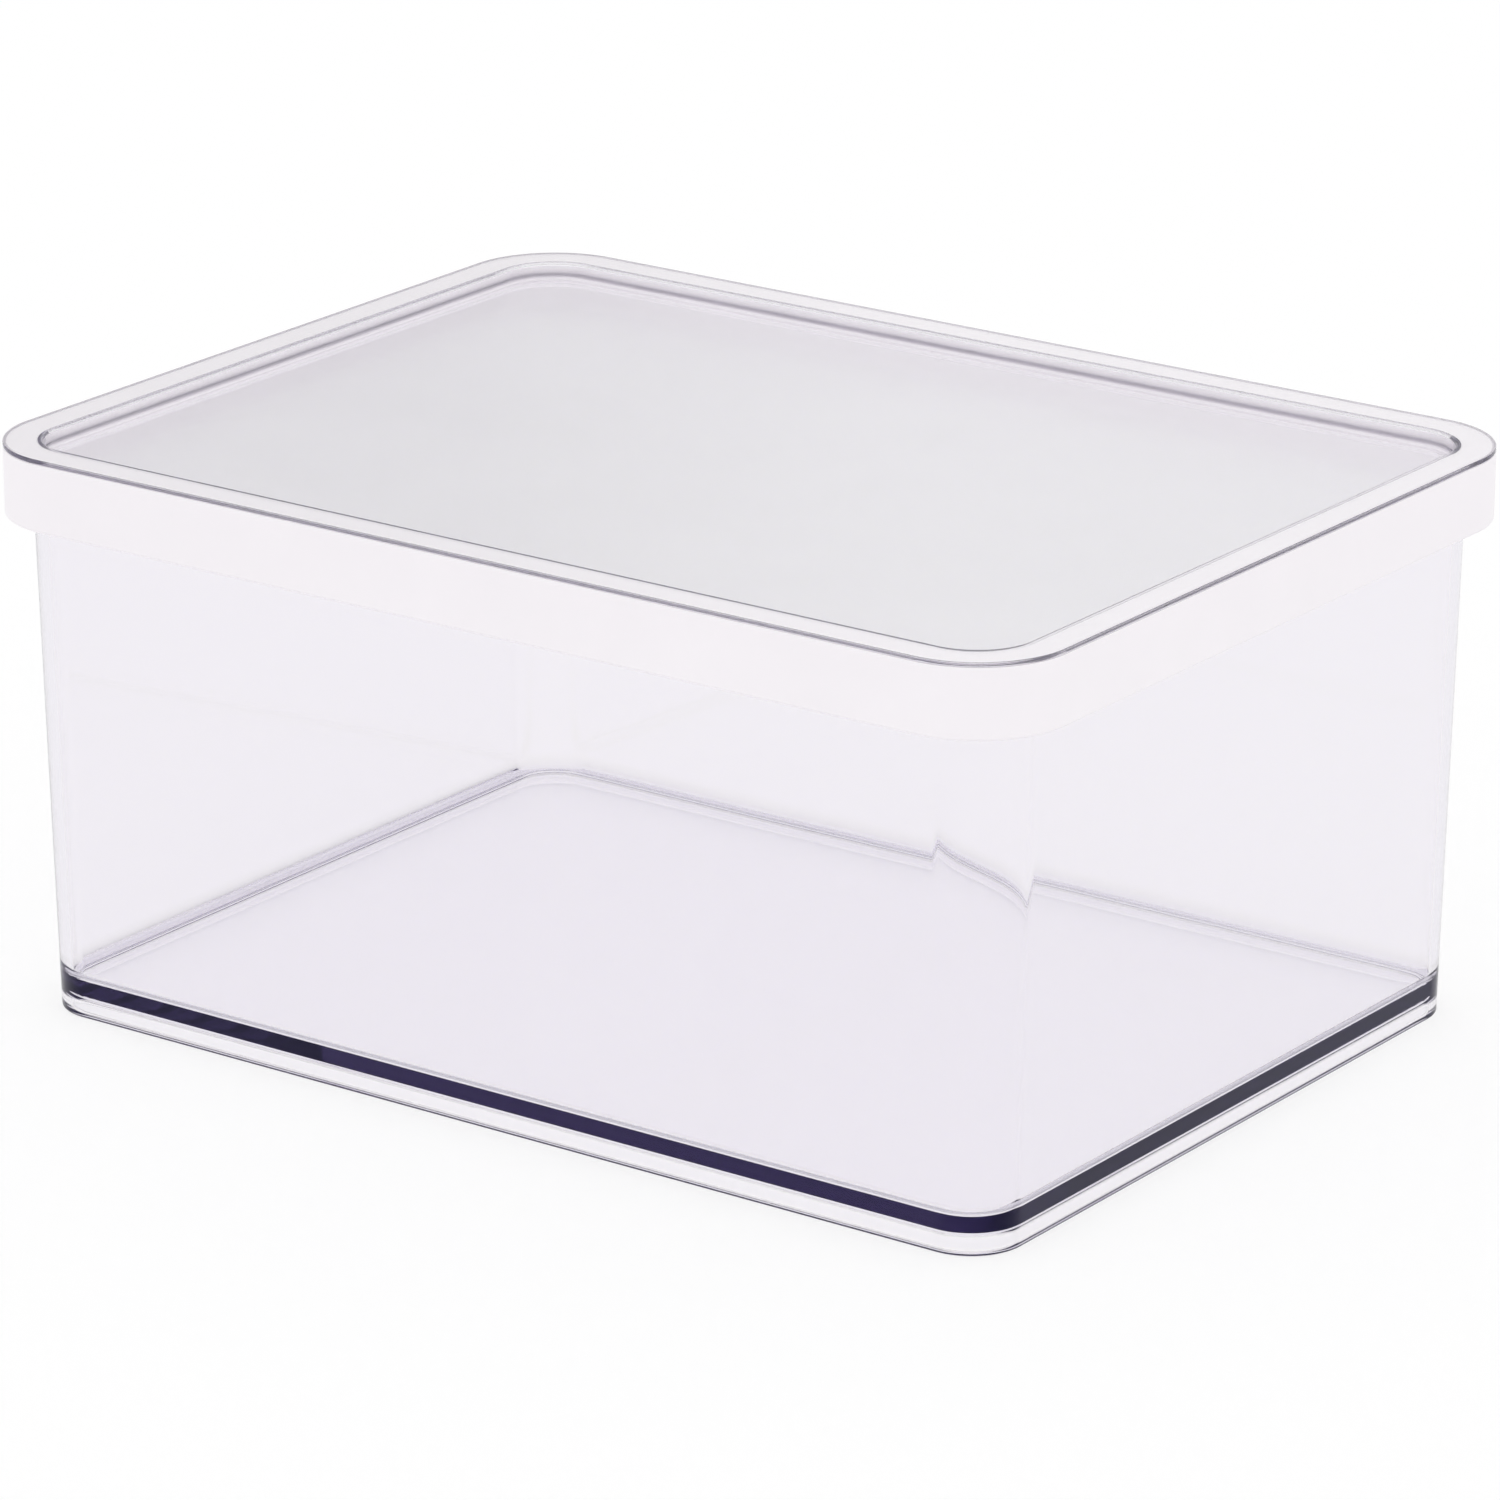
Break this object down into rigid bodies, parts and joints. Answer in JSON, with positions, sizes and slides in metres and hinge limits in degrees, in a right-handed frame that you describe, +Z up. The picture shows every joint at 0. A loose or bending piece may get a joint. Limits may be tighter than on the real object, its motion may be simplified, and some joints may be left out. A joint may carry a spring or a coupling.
{
  "type": "storage box with lid",
  "caption": "Clear rectangular storage box on a raised foot, with a lift-off lid: white frame, clear sunk panel that seats a like box, and a seal inside.",
  "frame": {"origin": "on the ground, at the middle of the foot's outline", "axes": "+X along the long sides, +Y along the short sides, +Z up through the lid"},
  "size_m": [0.2, 0.15, 0.096],
  "materials": {
    "clear_body": "clear moulded styrene-type plastic, polished, faint violet tint in thick sections",
    "white_frame": "satin white moulded plastic",
    "clear_panel": "clear moulded styrene-type plastic, polished",
    "soft_seal": "translucent white silicone"
  },
  "bodies": {
    "box": {"box_body": "clear_body"},
    "lid": {"lid_frame": "white_frame", "lid_panel": "clear_panel", "lid_seal": "soft_seal"}
  },
  "joints": [
    {"name": "lid_lift", "type": "slide", "parent": "box", "child": "lid", "axis": [0, 0, 1], "range_m": [0, 0.12]}
  ]
}
